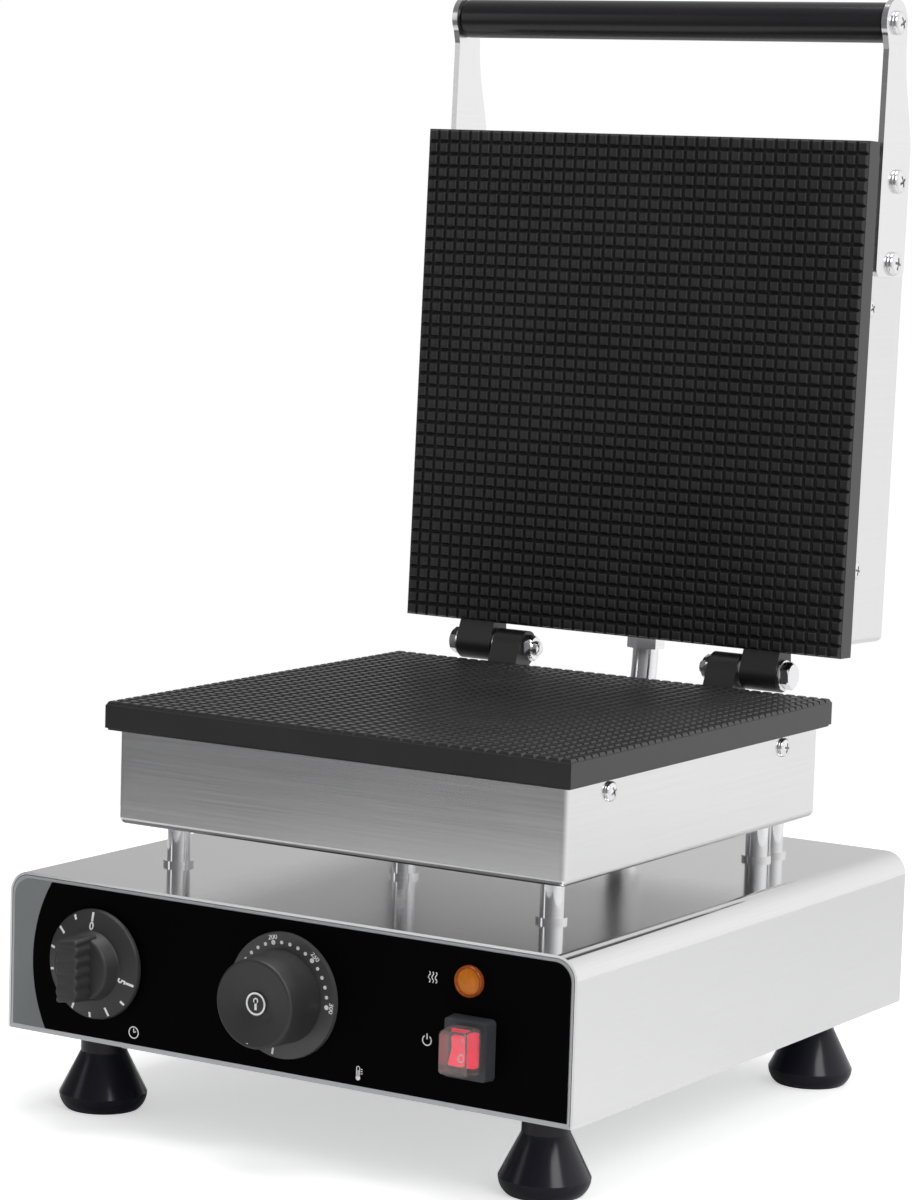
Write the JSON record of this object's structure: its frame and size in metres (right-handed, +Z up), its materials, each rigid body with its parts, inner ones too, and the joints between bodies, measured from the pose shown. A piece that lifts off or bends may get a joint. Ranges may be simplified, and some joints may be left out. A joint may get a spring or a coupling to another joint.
{
  "type": "waffle iron",
  "caption": "Stroopwafel iron: square grid plates hinged over a stainless control base with timer, thermostat, lamp and covered switch; the lid stands open.",
  "frame": {"origin": "middle of the footprint at floor level, with the lid open", "axes": "+Z up, controls face -Y, hinge axis along +X"},
  "size_m": [0.303, 0.3806, 0.5275],
  "materials": {
    "stainless": "brushed",
    "polished_steel": "polished",
    "zinc_fasteners": "plated",
    "black_cast_iron": "satin",
    "gloss_black": "glossy",
    "matte_black": "matte",
    "overlay_film": "satin print",
    "heater_tube": "heat-tinted",
    "mineral_mat": "fibrous",
    "hose_jacket": "braided",
    "control_case": "matte",
    "terminal_plastic": "matte",
    "red_rocker": "glossy",
    "clear_cap": "clear",
    "amber_lens": "translucent"
  },
  "bodies": {
    "base": {"base_shell": "stainless", "bottom_plate": "stainless", "cord_gland": "matte_black", "foot_front_left": "gloss_black", "foot_front_right": "gloss_black", "foot_nuts": "zinc_fasteners", "foot_rear_left": "gloss_black", "foot_rear_right": "gloss_black", "foot_screws": "zinc_fasteners", "front_panel": "stainless", "hinge_bolt_left": "polished_steel", "hinge_bolt_right": "polished_steel", "hinge_nut_left": "polished_steel", "hinge_nut_right": "polished_steel", "hinge_washer_left": "polished_steel", "hinge_washer_right": "polished_steel", "hose_gland_base": "polished_steel", "lamp_body": "control_case", "lamp_lens": "amber_lens", "lid_hose": "hose_jacket", "lower_box": "stainless", "lower_box_screws": "polished_steel", "lower_heater": "heater_tube", "lower_insulation": "mineral_mat", "lower_plate": "black_cast_iron", "panel_overlay": "overlay_film", "panel_screws": "zinc_fasteners", "post_collars": "polished_steel", "post_nuts": "zinc_fasteners", "rear_panel": "stainless", "spacer_posts": "polished_steel", "switch_cap": "clear_cap", "switch_housing": "matte_black", "terminal_block": "terminal_plastic", "thermostat_body": "control_case", "thermostat_dial": "matte_black", "timer_body": "control_case", "wiring_tube_centre": "polished_steel", "wiring_tube_rear": "polished_steel"},
    "timer": {"timer_knob": "gloss_black"},
    "thermostat": {"thermostat_knob": "gloss_black"},
    "rocker": {"switch_rocker": "red_rocker"},
    "lid": {"upper_box": "stainless", "upper_plate": "black_cast_iron", "upper_box_screws": "polished_steel", "upper_heater": "heater_tube", "upper_insulation": "mineral_mat", "arm_left": "stainless", "arm_right": "stainless", "arm_screws": "polished_steel", "arm_nuts": "zinc_fasteners", "grip": "gloss_black", "grip_screws": "polished_steel", "hose_gland_lid": "polished_steel"}
  },
  "joints": [
    {"name": "lid_hinge", "type": "hinge", "parent": "base", "child": "lid", "pos_m": [0, 0.13024, 0.1974], "axis": [1, 0, 0], "range_deg": [0, 92], "deforming": ["lid_hose"]},
    {"name": "timer_turn", "type": "hinge", "parent": "base", "child": "timer", "pos_m": [-0.1, -0.16626, 0.076], "axis": [0, 1, 0], "range_deg": [0, 267]},
    {"name": "thermostat_turn", "type": "hinge", "parent": "base", "child": "thermostat", "pos_m": [0.003, -0.16626, 0.076], "axis": [0, 1, 0], "range_deg": [0, 265]},
    {"name": "rocker_tilt", "type": "hinge", "parent": "base", "child": "rocker", "pos_m": [0.1014, -0.16896, 0.0675], "axis": [1, 0, 0], "range_deg": [0, 14]}
  ]
}
